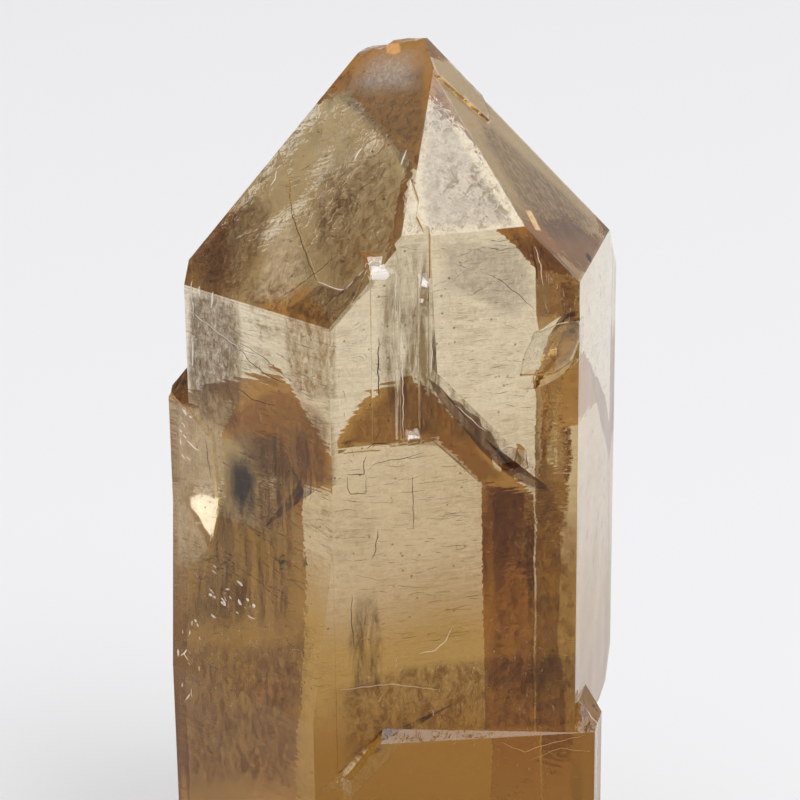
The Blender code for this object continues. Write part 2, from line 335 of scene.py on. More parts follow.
def frosted_roughness(tree, mm):
    """Roughness: patches about 11 mm across, times how milky the face is."""
    patches = node(tree, "ShaderNodeTexNoise", Vector=mm, Scale=0.09, Detail=6.0, Roughness=0.62,
                   Distortion=0.8)
    frosted = node(tree, "ShaderNodeMapRange", Value=patches.outputs["Fac"], From_Min=0.48,
                   From_Max=0.66)
    frost = node(tree, "ShaderNodeMath", {"operation": "MULTIPLY"}, _0=frosted.outputs[0],
                 _1=face_attribute(tree, "milky"))
    rough = node(tree, "ShaderNodeMath", {"operation": "MULTIPLY"}, _0=frost.outputs[0],
                 _1=FROST_ROUGHNESS)
    return rough.outputs[0]


print("bump in mm:", round(BUMP_HEIGHT / MM, 2), "roughest frost:", FROST_ROUGHNESS)

# %% [markdown]
# Dirt and iron sit in the uneven places, so the skin is not equally clear everywhere. From fine to
# coarse there are a grain of 0.4 mm, short level lines, etched specks and round pits. Over all of
# them lies the brown gold of the root: smoke in the stone and painted shade, darker towards the
# bottom. They are the base colour, which tints the light that enters or leaves.

# %% Colour of the skin
CLEAN, GRAINY = "#ffffff", "#efe9de"
WORN, PIT = "#7e6846", "#6e4e2a"
# Brown gold of smoke, and of painted shade towards the bottom of the stone.
SMOKE_AND_SHADE_TINT = "#a27a34"


def skin_colour(tree, mm):
    """Clean to grainy, then worn, pitted and smoky, each mixed in by its own pattern."""
    upright, etched = face_attribute(tree, "upright"), face_attribute(tree, "etched")
    specks = node(tree, "ShaderNodeMapRange", Value=skin_height(tree, mm, fine=True), From_Min=0.44,
                  From_Max=0.60)
    areas = node(tree, "ShaderNodeTexNoise", Vector=mm, Scale=0.07, Detail=5.0, Roughness=0.6,
                 Distortion=1.0)
    worn_areas = node(tree, "ShaderNodeMapRange", Value=areas.outputs["Fac"], From_Min=0.40,
                      From_Max=0.62, To_Min=0.30)
    etching = node(tree, "ShaderNodeMath", {"operation": "MULTIPLY"}, _0=specks.outputs[0], _1=etched)
    line_place = node(tree, "ShaderNodeMapping", Vector=mm, Scale=(0.30, 0.30, 2.6))
    lines = node(tree, "ShaderNodeTexNoise", Vector=line_place.outputs[0], Scale=1.0, Detail=4.0,
                 Roughness=0.75)
    dark_lines = node(tree, "ShaderNodeMapRange", Value=lines.outputs["Fac"], From_Min=0.50,
                      From_Max=0.66, To_Max=0.85)
    ruling = node(tree, "ShaderNodeMath", {"operation": "MULTIPLY"}, _0=dark_lines.outputs[0],
                  _1=upright)
    marks = node(tree, "ShaderNodeMath", {"operation": "MAXIMUM"}, _0=etching.outputs[0],
                 _1=ruling.outputs[0])
    worn = node(tree, "ShaderNodeMath", {"operation": "MULTIPLY"}, _0=marks.outputs[0],
                _1=worn_areas.outputs[0])

    grain = node(tree, "ShaderNodeTexNoise", Vector=mm, Scale=2.4, Detail=3.0, Roughness=0.8)
    grain_share = node(tree, "ShaderNodeMapRange", Value=grain.outputs["Fac"], From_Min=0.36,
                       From_Max=0.64)
    cells = node(tree, "ShaderNodeTexVoronoi", Vector=mm, Scale=0.42, Randomness=1.0)
    pits = node(tree, "ShaderNodeMapRange", Value=cells.outputs["Distance"], From_Min=0.11,
                From_Max=0.06)
    colour = node(tree, "ShaderNodeMix", {"data_type": "RGBA"}, Factor=grain_share.outputs[0],
                  A=linear(CLEAN), B=linear(GRAINY))
    for share, tint in ((worn.outputs[0], WORN), (pits.outputs[0], PIT),
                        (face_attribute(tree, "smoke_and_shade"), SMOKE_AND_SHADE_TINT)):
        colour = node(tree, "ShaderNodeMix", {"data_type": "RGBA"}, Factor=share,
                      A=colour.outputs["Result"], B=linear(tint))
    return colour.outputs["Result"]


print("the root lets pass of red, green and blue:", [round(c, 2) for c in linear(SMOKE_AND_SHADE_TINT)[:3]])

# %% [markdown]
# Citrine is quartz: index 1.544, coloured through and through by iron, so the gold deepens with
# the way that light travels inside. That is what volume absorption does. Its colour and density are
# plain values, because an exported model can hold no pattern there.

# %% Material: clear quartz
INDEX = 1.544
GOLD_PER_METRE = (1.5, 3.9, 9.8)       # absorption of red, green and blue light per metre
DENSITY = 24.0                         # any value above those three


def quartz():
    mat = bpy.data.materials.new("natural citrine quartz")
    mat.use_nodes = True
    tree = mat.node_tree
    tree.nodes.clear()
    place = node(tree, "ShaderNodeTexCoord")
    mm = node(tree, "ShaderNodeMapping", Vector=place.outputs["Object"],
              Scale=(1000, 1000, 1000)).outputs[0]
    relief = node(tree, "ShaderNodeBump", Strength=face_attribute(tree, "etched"),
                  Distance=BUMP_HEIGHT, Height=skin_height(tree, mm, fine=False))
    shader = node(tree, "ShaderNodeBsdfPrincipled", Base_Color=skin_colour(tree, mm),
                  Roughness=frosted_roughness(tree, mm), IOR=INDEX, Normal=relief.outputs[0],
                  Transmission_Weight=1.0)
    colour = [1.0 - absorbed / DENSITY for absorbed in GOLD_PER_METRE]
    inside = node(tree, "ShaderNodeVolumeAbsorption", Color=(*colour, 1.0), Density=DENSITY)
    node(tree, "ShaderNodeOutputMaterial", Surface=shader.outputs[0], Volume=inside.outputs[0])
    return mat


crystal.data.materials.append(quartz())
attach(crystal, "root")
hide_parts("citrine_crystal")
print("nodes in the quartz:", len(crystal.data.materials[0].node_tree.nodes))

# %% [markdown]
# Flaws make the stone: veils of tiny bubbles along healed cracks, brown clouds, open cracks that
# flash like mirrors, scratches. Each one lies flat along a crystal face, a little below it. To put
# a flaw where the eye sees it, a ray is sent from the camera through a point of the picture, is
# bent by the face as Snell's law says, and goes on to the depth of the flaw.

# %% Find places inside the stone
FACES = {                              # face: (azimuth, rise) in degrees
    "left end": (-60, SLOPE), "front end": (0, SLOPE), "right end": (60, SLOPE),
    "left": (-60, 0), "front": (0, 0), "right": (60, 0),
}
camera_turn = np.array((aimed @ Matrix.Rotation(ROLL, 4, "Z")).to_3x3())
eye = np.array(camera.location)


def camera_rays(pixels):
    """Unit directions from the eye through points of the 800 by 800 picture."""
    flat = (np.asarray(pixels, dtype=float) - PICTURE / 2) * (SENSOR / PICTURE) / lens.lens
    rays = np.column_stack([flat[:, 0], -flat[:, 1], -np.ones(len(flat))]) @ camera_turn.T
    return rays / np.linalg.norm(rays, axis=1)[:, None]


def seen_at(pixels, face, depth):
    """Points below a face that the camera sees at these pixels.

    One ray through the middle pixel finds how far out the face lies there. Ray: eye + t * direction.
    Inside, the direction is direction / n + (c / n - c') * normal, with c and c' the cosines of the
    angles to the normal outside and inside.
    """
    rays = camera_rays(pixels)
    normal = face_direction(*FACES[face])
    middle = camera_rays([np.mean(pixels, axis=0)])[0]
    hit = surface_tree.ray_cast(Vector(eye), Vector(middle))[0]
    if hit is None:
        hit = Vector(surface_points[(surface_points @ normal).argmax()])
    offset = float(np.array(hit) @ normal)
    cosine = -rays @ normal
    on_face = eye + rays * ((eye @ normal - offset) / cosine)[:, None]
    inner = np.sqrt(1.0 - (1.0 - cosine ** 2) / INDEX ** 2)
    bent = rays / INDEX + normal * (cosine / INDEX - inner)[:, None]
    return on_face + bent * (depth * MM / inner)[:, None], normal


surface_points, _, surface_normals = mesh_arrays(crystal.data)
surface_tree = BVHTree.FromPolygons(surface_points.tolist(),
                                    [tuple(face.vertices) for face in crystal.data.polygons])
print("camera to the middle of the stone, mm:", round((eye @ to_camera - AIM @ to_camera) / MM))


def keep_inside(points, margin=0.2):
    """Push points in until they lie margin mm below the vertex of the stone that is nearest."""
    low, high = points.min(axis=0) - 4.0 * MM, points.max(axis=0) + 4.0 * MM
    close = np.all((surface_points > low) & (surface_points < high), axis=1)
    near, normals = surface_points[close], surface_normals[close]
    for _ in range(2):
        squares = (points ** 2).sum(axis=1)[:, None] + (near ** 2).sum(axis=1) - 2.0 * points @ near.T
        nearest = squares.argmin(axis=1)
        above = ((points - near[nearest]) * normals[nearest]).sum(axis=1) + margin * MM
        points = points - normals[nearest] * np.maximum(above, 0.0)[:, None]
    return points


TILT_SPAN = 40.0                       # a tilt is given in mm per this many picture points


def disc_faces(rings, around):
    """Faces of a disc: point 0 is the middle, then come rings - 1 circles of around points."""
    k = np.arange(around)
    after = (k + 1) % around
    fan = [(0, int(1 + a), int(1 + b)) for a, b in zip(k, after)]
    rows = np.arange(rings - 2)[:, None] * around + 1
    quads = np.stack([rows + k, rows + around + k, rows + around + after, rows + after], axis=-1)
    return fan + quads.reshape(-1, 4).tolist()


def flaw_sheet(outline, face, depth, rings=14, around=72, wave=0.25, cell=3.0, tilt=0.0, seed=1):
    """A sheet below a face: spokes from the middle of an outline, wavy across the face.

    Point: middle + r * (edge(a) - middle), r from 0 to 1, a along the outline; the depth gets
    wave * noise and tilt * r across. Returns the points, the faces and r of every point.
    """
    outline = np.asarray(outline, dtype=float)
    closed = np.vstack([outline, outline[:1]])
    steps = np.concatenate([[0.0], np.cumsum(np.linalg.norm(np.diff(closed, axis=0), axis=1))])
    at = np.linspace(0.0, steps[-1], around, endpoint=False)
    rim = np.column_stack([np.interp(at, steps, closed[:, k]) for k in (0, 1)])
    middle = rim.mean(axis=0)
    r = np.linspace(0.0, 1.0, rings)[1:]
    pixels = np.vstack([middle, (middle + r[:, None, None] * (rim - middle)).reshape(-1, 2)])
    points, normal = seen_at(pixels, face, depth)
    radius = np.concatenate([[0.0], np.repeat(r, around)])
    shift = wave * lattice_noise(points / MM, cell, seed) + tilt * (pixels[:, 0] - middle[0]) / TILT_SPAN
    points = keep_inside(points + normal * (shift * MM)[:, None])
    return points, disc_faces(rings, around), radius


def add_piece(name, points, faces, material, values=None):
    """A new mesh piece that rides on the crystal's body; values are its own point attributes."""
    mesh = bpy.data.meshes.new(name)
    mesh.from_pydata(points.tolist(), [], faces)
    for key, value in (values or {}).items():
        mesh.attributes.new(key, "FLOAT", "POINT").data.foreach_set("value", value)
    mesh.shade_smooth()
    mesh.materials.append(material)
    piece = bpy.data.objects.new(name, mesh)
    bpy.context.scene.collection.objects.link(piece)
    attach(piece, "root")
    return piece


# %% [markdown]
# What a flaw looks like depends on what it is. Iron and smoke are inside the quartz and only colour
# the light that passes, so they are filters that bend nothing. Healed cracks are sheets of tiny
# bubbles, which scatter light, so they are matt, pale and full of holes, and most of them glow a
# little as painted light. An open crack mirrors the bright room, and is drawn as a painted
# reflection: a bright patch that glows by itself. The specks of all of them are 0.6 to 3 mm across.

# %% Materials of the flaws
def speckled(tree, scale, stretch, seed, low, high):
    """Fractal noise over real millimetres, spread so that it runs from 0 to 1."""
    place = node(tree, "ShaderNodeTexCoord")
    mm = node(tree, "ShaderNodeMapping", Vector=place.outputs["Object"],
              Location=(seed, 0, 0), Scale=tuple(1000.0 * v for v in stretch))
    noise = node(tree, "ShaderNodeTexNoise", Vector=mm.outputs[0], Scale=scale, Detail=5.0,
                 Roughness=0.7, Distortion=0.5)
    return node(tree, "ShaderNodeMapRange", Value=noise.outputs["Fac"], From_Min=low,
                From_Max=high).outputs[0]


def stain(name, colour, scale, stretch, seed, low=0.35, high=0.6):
    """Iron, smoke and painted shade colour light that passes and bend nothing: index 1, base colour as
    filter.
    """
    mat = bpy.data.materials.new(name)
    mat.use_nodes = True
    tree = mat.node_tree
    tree.nodes.clear()
    specks = speckled(tree, scale, stretch, seed, low, high)
    inside = node(tree, "ShaderNodeAttribute", {"attribute_name": "inside"}).outputs["Fac"]
    amount = node(tree, "ShaderNodeMath", {"operation": "MULTIPLY"}, _0=specks, _1=inside)
    filtered = node(tree, "ShaderNodeMix", {"data_type": "RGBA"}, Factor=amount.outputs[0],
                    A=linear("#ffffff"), B=linear(colour))
    shader = node(tree, "ShaderNodeBsdfPrincipled", Base_Color=filtered.outputs["Result"],
                  Roughness=0.0, IOR=1.0, Transmission_Weight=1.0)
    node(tree, "ShaderNodeOutputMaterial", Surface=shader.outputs[0])
    return mat


def bubbles(name, colour, scale, stretch, seed, low=0.45, high=0.65, painted_glow=0.0):
    """A veil of tiny bubbles: matt and pale, with holes where the noise is low; its glow is painted light.
    """
    mat = bpy.data.materials.new(name)
    mat.use_nodes = True
    tree = mat.node_tree
    tree.nodes.clear()
    specks = speckled(tree, scale, stretch, seed, low, high)
    inside = node(tree, "ShaderNodeAttribute", {"attribute_name": "inside"}).outputs["Fac"]
    alpha = node(tree, "ShaderNodeMath", {"operation": "MULTIPLY"}, _0=specks, _1=inside)
    shader = node(tree, "ShaderNodeBsdfPrincipled", Base_Color=linear(colour), Roughness=0.9,
                  Alpha=alpha.outputs[0], Specular_IOR_Level=0.0, Emission_Color=linear(colour),
                  Emission_Strength=painted_glow)
    node(tree, "ShaderNodeOutputMaterial", Surface=shader.outputs[0])
    return mat


iron = stain("iron cloud in quartz", "#88693e", 0.7, (1.0, 1.0, 0.6), 3.0, 0.3, 0.6)
thick_iron = stain("thick iron cloud in quartz", "#7c6540", 1.1, (1.0, 1.0, 0.5), 11.0, 0.15, 0.6)
streaks = stain("brown growth streaks in quartz", "#66502c", 0.5, (1.0, 1.0, 0.18), 8.0)
smoke = stain("smoke in quartz", "#1c0e03", 0.3, (1.0, 1.0, 0.8), 5.0, 0.05, 0.3)
# Each glow value below is painted light: the sheet shines by itself in place of the light that reaches it.
# The milky veils, the crushed tip, the amber and bubble specks, the rust and the pale lines keep their own
# colours under it.
milk = bubbles("milky veil in quartz", "#e8dccb", 0.8, (1, 1, 0.6), 9.0, 0.5, 0.75, painted_glow=0.2)
milk_thick = bubbles("crushed tip of quartz", "#d2c8c0", 1.2, (1, 1, 1), 12.0, 0.15, 0.7, painted_glow=0.3)
amber = bubbles("amber specks in quartz", "#d8a456", 1.6, (1, 1, 0.7), 13.0, 0.5, 0.6, painted_glow=0.3)
specks = bubbles("bubble specks in quartz", "#efe4d6", 1.3, (1, 1, 0.5), 4.0, 0.62, 0.7, painted_glow=0.35)
# Painted highlight: a near-white patch that glows by itself, for cracks, small facets and edges that catch
# the light.
painted_glint = bubbles("painted reflection of an open crack", "#fbf6f2", 0.3, (1, 1, 1), 2.0, 0.1, 0.3, painted_glow=0.5)
# Painted reflection in gold: a patch that glows strongly by itself.
gold = bubbles("painted gold reflection of an open crack", "#fff3d8", 1.2, (1, 1, 1), 6.0, 0.1, 0.5, painted_glow=0.85)
rust = bubbles("iron oxide stain", "#ecb676", 2.0, (1, 1, 1), 7.0, 0.1, 0.5, painted_glow=0.4)
# Painted light: a pale sheet that glows by itself where the stone looks pale and bright.
painted_light_patch = bubbles("pale patch of painted light in the stone", "#dcc6a2", 0.5, (1, 1, 0.6), 14.0, 0.2, 0.65, painted_glow=0.36)
# Painted shade: brown filters over zones of the stone that lie in shade.
shade = stain("brown band of painted shade", "#6a4c34", 1.6, (1, 1, 0.4), 16.0, 0.05, 0.42)
mottle = stain("brown mottling in quartz", "#6a4c34", 1.1, (1, 1, 0.6), 19.0, 0.28, 0.66)
dusk = bubbles("grey veil in quartz", "#8a7c70", 1.0, (1, 1, 0.6), 25.0, 0.2, 0.8)
haze = stain("grey haze in quartz", "#aca6ac", 1.4, (1, 1, 0.5), 21.0, 0.1, 0.6)
shade_soft = stain("brown painted shade in quartz", "#a68c76", 1.3, (1, 1, 0.5), 23.0, 0.15, 0.5)
scratch = bubbles("fine brown growth line", "#7c5e38", 1.2, (1, 1, 1), 17.0, 0.25, 0.75)
fleck = bubbles("fine pale growth line", "#e9ddcc", 1.2, (1, 1, 1), 18.0, 0.25, 0.85, painted_glow=0.3)
hollow = bubbles("shadowed crack", "#33220f", 2.0, (1, 1, 1), 1.0, 0.2, 0.45)
print("flaw materials:", iron.name, "|", streaks.name, "|", smoke.name, "|", milk.name)

# %% [markdown]
# Each flaw is now hung in the stone: its outline is what the eye sees through the face, its depth
# is how far below that face it lies, and its rim fades, because no cloud in a crystal has an edge.

# %% Hang the veils
VEILS = [         # name, material, face, depth in mm, soft share of its radius, outline in picture points
    ("mottle_left", mottle, "left", 0.8, 0.2,
     [(188, 292), (214, 292), (236, 302), (240, 345), (232, 400), (196, 404), (187, 380)]),
    ("iron_left_edge", thick_iron, "left", 1.5, 0.12,
     [(189, 290), (214, 290), (238, 300), (245, 345), (240, 430), (200, 428), (187, 400)]),
    ("iron_left_middle", iron, "left", 2.2, 0.15,
     [(284, 300), (330, 318), (332, 400), (305, 402), (290, 395), (284, 350)]),
    ("iron_end_left", thick_iron, "left end", 1.5, 0.25,
     [(190, 262), (250, 190), (276, 205), (262, 255), (240, 300), (196, 296)]),
    ("iron_end_right", iron, "left end", 2.0, 0.4,
     [(300, 200), (330, 150), (400, 140), (420, 190), (400, 250), (330, 318), (315, 260)]),
    ("iron_end_low", thick_iron, "left end", 1.2, 0.1,
     [(288, 308), (318, 284), (344, 292), (371, 262), (372, 282), (328, 331)]),
    ("iron_right_end", thick_iron, "right end", 1.5, 0.3,
     [(470, 110), (500, 130), (600, 225), (600, 250), (560, 250), (520, 205), (480, 140)]),
    ("streaks_left", streaks, "left", 3.0, 0.3,
     [(228, 440), (330, 400), (334, 480), (300, 480), (300, 640), (180, 640), (200, 545)]),
    ("streaks_middle", streaks, "front", 2.0, 0.2,
     [(374, 300), (388, 245), (430, 238), (432, 370), (470, 405), (545, 478), (500, 470),
      (470, 446), (395, 440), (380, 400)]),
    ("streaks_strip", streaks, "front", 1.5, 0.3,
     [(356, 590), (376, 585), (386, 640), (384, 700), (352, 700), (346, 640)]),
    ("iron_root", iron, "front", 3.0, 0.2,
     [(326, 690), (400, 664), (486, 655), (590, 650), (590, 728), (380, 736), (334, 776)]),
    ("iron_right_low", iron, "front", 2.4, 0.2,
     [(488, 480), (546, 476), (580, 520), (582, 700), (488, 700)]),
    # The shade veils are painted shade over the darker zones of the stone.
    ("shade_edge", shade, "front", 1.2, 0.06,
     [(424, 374), (440, 386), (446, 396), (460, 401), (466, 410), (479, 416), (482, 427), (492, 432),
      (497, 443), (512, 470), (533, 480), (548, 486), (552, 494), (530, 488), (505, 474), (482, 452),
      (462, 428), (440, 402)]),
    ("shade_left", shade_soft, "left", 1.6, 0.15,
     [(214, 424), (240, 404), (268, 388), (292, 390), (318, 406), (332, 424), (332, 486), (304, 484),
      (262, 478), (236, 446)]),
    ("shade_wedge", shade_soft, "front", 2.4, 0.12,
     [(340, 442), (352, 420), (372, 402), (396, 384), (424, 382), (446, 404), (466, 430), (486, 458),
      (508, 480), (482, 486), (462, 464), (438, 446), (396, 446)]),
    ("shade_corner", shade_soft, "front", 1.4, 0.15,
     [(508, 230), (530, 232), (560, 256), (578, 278), (579, 330), (560, 318), (536, 322), (534, 262)]),
    ("iron_left_low", iron, "left", 2.6, 0.3, [(176, 636), (312, 630), (306, 798), (178, 798)]),
    ("smoke_cloud", smoke, "left", 2.0, 0.7,
     [(222, 446), (254, 444), (266, 475), (256, 520), (240, 532), (224, 500)]),
    ("painted_light_left", painted_light_patch, "left", 0.8, 0.3,
     [(175, 402), (194, 400), (214, 425), (222, 440), (224, 482), (212, 492), (190, 488), (176, 500)]),
    ("painted_light_left_low", painted_light_patch, "left", 0.8, 0.35,
     [(175, 496), (190, 500), (196, 520), (206, 536), (212, 552), (204, 566), (188, 572), (175, 566)]),
    ("milk_tip", milk_thick, "left end", 0.5, 0.9,
     [(334, 92), (356, 54), (384, 40), (430, 40), (433, 66), (426, 96), (396, 98), (362, 104)]),
    ("veil_end_top", dusk, "left end", 1.2, 0.3,
     [(330, 96), (345, 72), (428, 60), (430, 130), (412, 190), (390, 150), (350, 112)]),
    ("haze_end", haze, "front end", 0.6, 0.2,
     [(431, 90), (440, 96), (468, 150), (520, 230), (426, 232), (418, 180)]),
    ("haze_front", haze, "front", 1.0, 0.4,
     [(432, 238), (530, 238), (545, 300), (520, 330), (470, 300), (434, 290)]),
    ("painted_light_end", painted_light_patch, "left end", 1.4, 0.35,
     [(262, 258), (276, 228), (292, 215), (304, 250), (312, 278), (290, 306), (268, 309), (250, 302)]),
    ("painted_light_ledge", painted_light_patch, "front", 0.6, 0.2, [(376, 738), (410, 738), (352, 798), (320, 798)]),
    ("milk_end", milk, "left end", 1.0, 0.5,
     [(318, 130), (360, 110), (352, 160), (328, 190), (312, 240), (300, 200)]),
    ("specks_left", specks, "left", 1.2, 0.5,
     [(176, 560), (240, 545), (290, 640), (240, 720), (176, 720)]),
    ("specks_root", specks, "front", 1.2, 0.5,
     [(330, 640), (590, 600), (590, 798), (330, 798)]),
    ("amber_specks", amber, "front", 2.5, 0.5,
     [(541, 380), (560, 384), (566, 420), (558, 450), (544, 440)]),
    # Painted reflections: the small facets below glow by themselves, and so do the two golden flashes.
    ("painted_glint_facet_a", painted_glint, "front", 0.1, 0.05,
     [(372, 264), (384, 264), (390, 276), (386, 280), (371, 280)]),
    ("painted_glint_facet_b", painted_glint, "front", 0.1, 0.05, [(421, 286), (424, 275), (429, 284), (428, 288)]),
    ("painted_glint_facet_c", painted_glint, "front", 0.1, 0.05, [(414, 302), (418, 298), (424, 299), (423, 303)]),
    ("painted_glint_facet_d", painted_glint, "front", 0.1, 0.05, [(405, 440), (407, 434), (416, 434), (420, 439)]),
    ("flash_left", gold, "left", 0.6, 0.2,
     [(189, 496), (199, 492), (209, 494), (219, 499), (217, 514), (213, 540), (204, 529),
      (198, 516), (190, 507)]),
    ("flash_right", gold, "right end", 0.6, 0.2, [(524, 209), (531, 210), (542, 232), (536, 231)]),
    ("rust_tip", rust, "left end", 0.2, 0.3, [(384, 43), (400, 42), (402, 52), (394, 56), (386, 54)]),
    ("smoke_mark", hollow, "right end", 0.6, 0.2, [(586, 251), (592, 257), (591, 263), (586, 258)]),
]
for number, (name, material, face, depth, soft, outline) in enumerate(VEILS):
    points, faces, radius = flaw_sheet(outline, face, depth, seed=number + 20)
    add_piece(name, points, faces, material, {"inside": ramp(radius, 1.0, 1.0 - soft)})
print("veils:", len(VEILS))

# %% [markdown]
# Hairline cracks and scratches are narrow ribbons that follow a few points of a face, swell in the
# middle and taper to nothing at both ends.

# %% Cracks and scratches
HAIRLINE = 0.6                         # share of its stated width at which a ribbon is drawn


def crack_ribbon(route, face, width, depth=0.25, steps=24, wobble=0.6, seed=1):
    """A ribbon along a route: route(t) + side * width / 2 * sin(pi t) ** 0.5 * across, side = -1, 1."""
    route = np.asarray(route, dtype=float)
    lengths = np.concatenate([[0.0], np.cumsum(np.linalg.norm(np.diff(route, axis=0), axis=1))])
    at = np.linspace(0.0, lengths[-1], steps)
    line = np.column_stack([np.interp(at, lengths, route[:, k]) for k in (0, 1)])
    along = np.gradient(line, axis=0)
    across = np.column_stack([-along[:, 1], along[:, 0]]) / np.linalg.norm(along, axis=1)[:, None]
    shake = lattice_noise(np.column_stack([at, at * 0, at * 0 + seed]), 4.0, seed)
    line = line + across * (wobble * shake)[:, None]
    half = HAIRLINE * width / 2.0 * np.sqrt(np.sin(math.pi * np.linspace(0.01, 0.99, steps)))
    pixels = np.vstack([line - across * half[:, None], line + across * half[:, None]])
    points = keep_inside(seen_at(pixels, face, depth)[0], 0.1)
    k = np.arange(steps - 1)
    return points, np.stack([k, k + 1, k + 1 + steps, k + steps], axis=-1)


def scatter(face, corners, count, angle, spread, length, width, seed):
    """Short marks strewn over a patch: corner weights (u, v) from a fixed random generator.

    Middle: the four corners blended by u and v. Direction: angle + spread * normal noise, in degrees.
    Length and width run from their first to their second value.
    """
    random = np.random.default_rng(seed)
    corners = np.asarray(corners, dtype=float)
    u, v = random.random((2, count, 1))
    middle = (corners[0] * (1 - u) + corners[1] * u) * (1 - v) + (corners[3] * (1 - u) + corners[2] * u) * v
    turn = np.radians(angle + spread * random.standard_normal(count))
    half = (length[0] + (length[1] - length[0]) * random.random(count) ** 2) / 2.0
    way = np.column_stack([np.cos(turn), np.sin(turn)]) * half[:, None]
    bow = np.column_stack([-way[:, 1], way[:, 0]]) * (0.07 * random.standard_normal(count))[:, None]
    wide = width[0] + (width[1] - width[0]) * random.random(count)
    routes = np.stack([middle - way, middle + bow, middle + way], axis=1)
    return [(face, w, route) for w, route in zip(wide.tolist(), routes.tolist())]


def ribbon_piece(name, material, ribbons, steps=24, wobble=0.6):
    """Many ribbons joined in one piece."""
    all_points, all_faces, start = [], [], 0
    for number, (face, width, route) in enumerate(ribbons):
        points, faces = crack_ribbon(route, face, width, steps=steps, wobble=wobble, seed=number + 3)
        all_points.append(points)
        all_faces.append(faces + start)
        start += len(points)
    points = np.vstack(all_points)
    add_piece(name, points, np.vstack(all_faces).tolist(), material, {"inside": np.ones(len(points))})
    return len(ribbons)


DARK_CRACKS = [                        # face, width in picture points, route in picture points
    ("left end", 1.4, [(289, 192), (292, 215), (302, 243), (311, 268), (318, 284)]),
    ("left end", 1.0, [(276, 300), (300, 285), (318, 270), (336, 255)]),
    ("left", 1.2, [(238, 346), (250, 362), (268, 376), (292, 386)]),
    ("left", 1.0, [(240, 343), (262, 356), (280, 372), (294, 384)]),
    ("left", 1.2, [(238, 388), (250, 398), (262, 403), (276, 405)]),
    ("left", 1.0, [(206, 440), (208, 460), (211, 478)]),
    ("front", 1.4, [(347, 474), (355, 475), (364, 474), (364, 462), (366, 456)]),
    ("front", 1.2, [(348, 476), (347, 486), (350, 494), (360, 494), (366, 493), (366, 478)]),
    ("front", 1.6, [(366, 449), (374, 444), (384, 443), (392, 446)]),
    ("front", 1.0, [(368, 470), (376, 463), (392, 460), (410, 458), (428, 456)]),
    ("front", 2.2, [(379, 338), (378, 360), (379, 398)]),
    ("front", 1.2, [(412, 475), (413, 500), (414, 530)]),
    ("front", 1.4, [(352, 594), (351, 620), (355, 650)]),
    ("front", 1.4, [(378, 530), (376, 548), (372, 560)]),
    ("front", 1.2, [(485, 273), (500, 280), (520, 296), (535, 310)]),
    ("front", 1.0, [(484, 240), (500, 241), (520, 239)]),
    ("front", 1.0, [(486, 248), (502, 250), (518, 247)]),
    ("front", 1.8, [(531, 246), (535, 262), (538, 284)]),
]
# Painted highlights: white ribbons along cracks and edges that glow by themselves.
PAINTED_GLINT_CRACKS = [
    ("left end", 1.4, [(316, 281), (330, 287), (344, 291), (358, 276), (371, 262), (381, 262)]),
    ("left end", 2.4, [(407, 150), (403, 158), (401, 165)]),
    ("left end", 1.6, [(277, 170), (275, 178), (271, 186)]),
    ("left end", 2.0, [(362, 148), (357, 154), (354, 160)]),
    ("left", 1.0, [(187, 309), (215, 330), (240, 349), (262, 362)]),
    ("left", 2.6, [(213, 292), (212, 300), (211, 308)]),
    ("left", 2.2, [(199, 286), (199, 297)]),
    ("left", 2.4, [(192, 338), (193, 352), (192, 366)]),
    ("left", 1.6, [(190, 280), (192, 300), (194, 318)]),
    ("left", 2.0, [(187, 440), (193, 447), (199, 450)]),
    ("front", 1.4, [(401, 322), (402, 360), (403, 400), (403, 438)]),
    ("front", 1.2, [(396, 272), (395, 300), (396, 318)]),
    ("front", 1.0, [(430, 330), (432, 352), (431, 372)]),
    ("front", 1.2, [(535, 246), (540, 262), (543, 286)]),
    ("front", 1.0, [(455, 405), (470, 418), (486, 432)]),
    ("front", 1.2, [(419, 654), (436, 650), (446, 640), (452, 628)]),
    ("front", 1.0, [(500, 742), (524, 752), (548, 744), (584, 736)]),
    ("front", 0.8, [(530, 760), (560, 748), (590, 752)]),
    ("front", 0.8, [(340, 690), (390, 684), (440, 690)]),
    ("right", 1.6, [(597, 706), (597, 740), (596, 780), (597, 798)]),
]
print("dark cracks:", ribbon_piece("dark_cracks", hollow, DARK_CRACKS))
print("bright cracks:", ribbon_piece("painted_glint_cracks", painted_glint, PAINTED_GLINT_CRACKS))

# %% [markdown]
# A natural face is never empty: fine brown growth lines run level across it, and pale scratches and
# flecks lie over the root. The pale ones glow a little, a painted highlight, and the brightest flecks
# are painted glints. There are hundreds, so a seeded generator strews them over a few patches, each
# with its own direction and length.

# %% Fine marks
LEVEL, LEFT_LEVEL = -2, 18             # how level lines run in the picture on the front and left faces
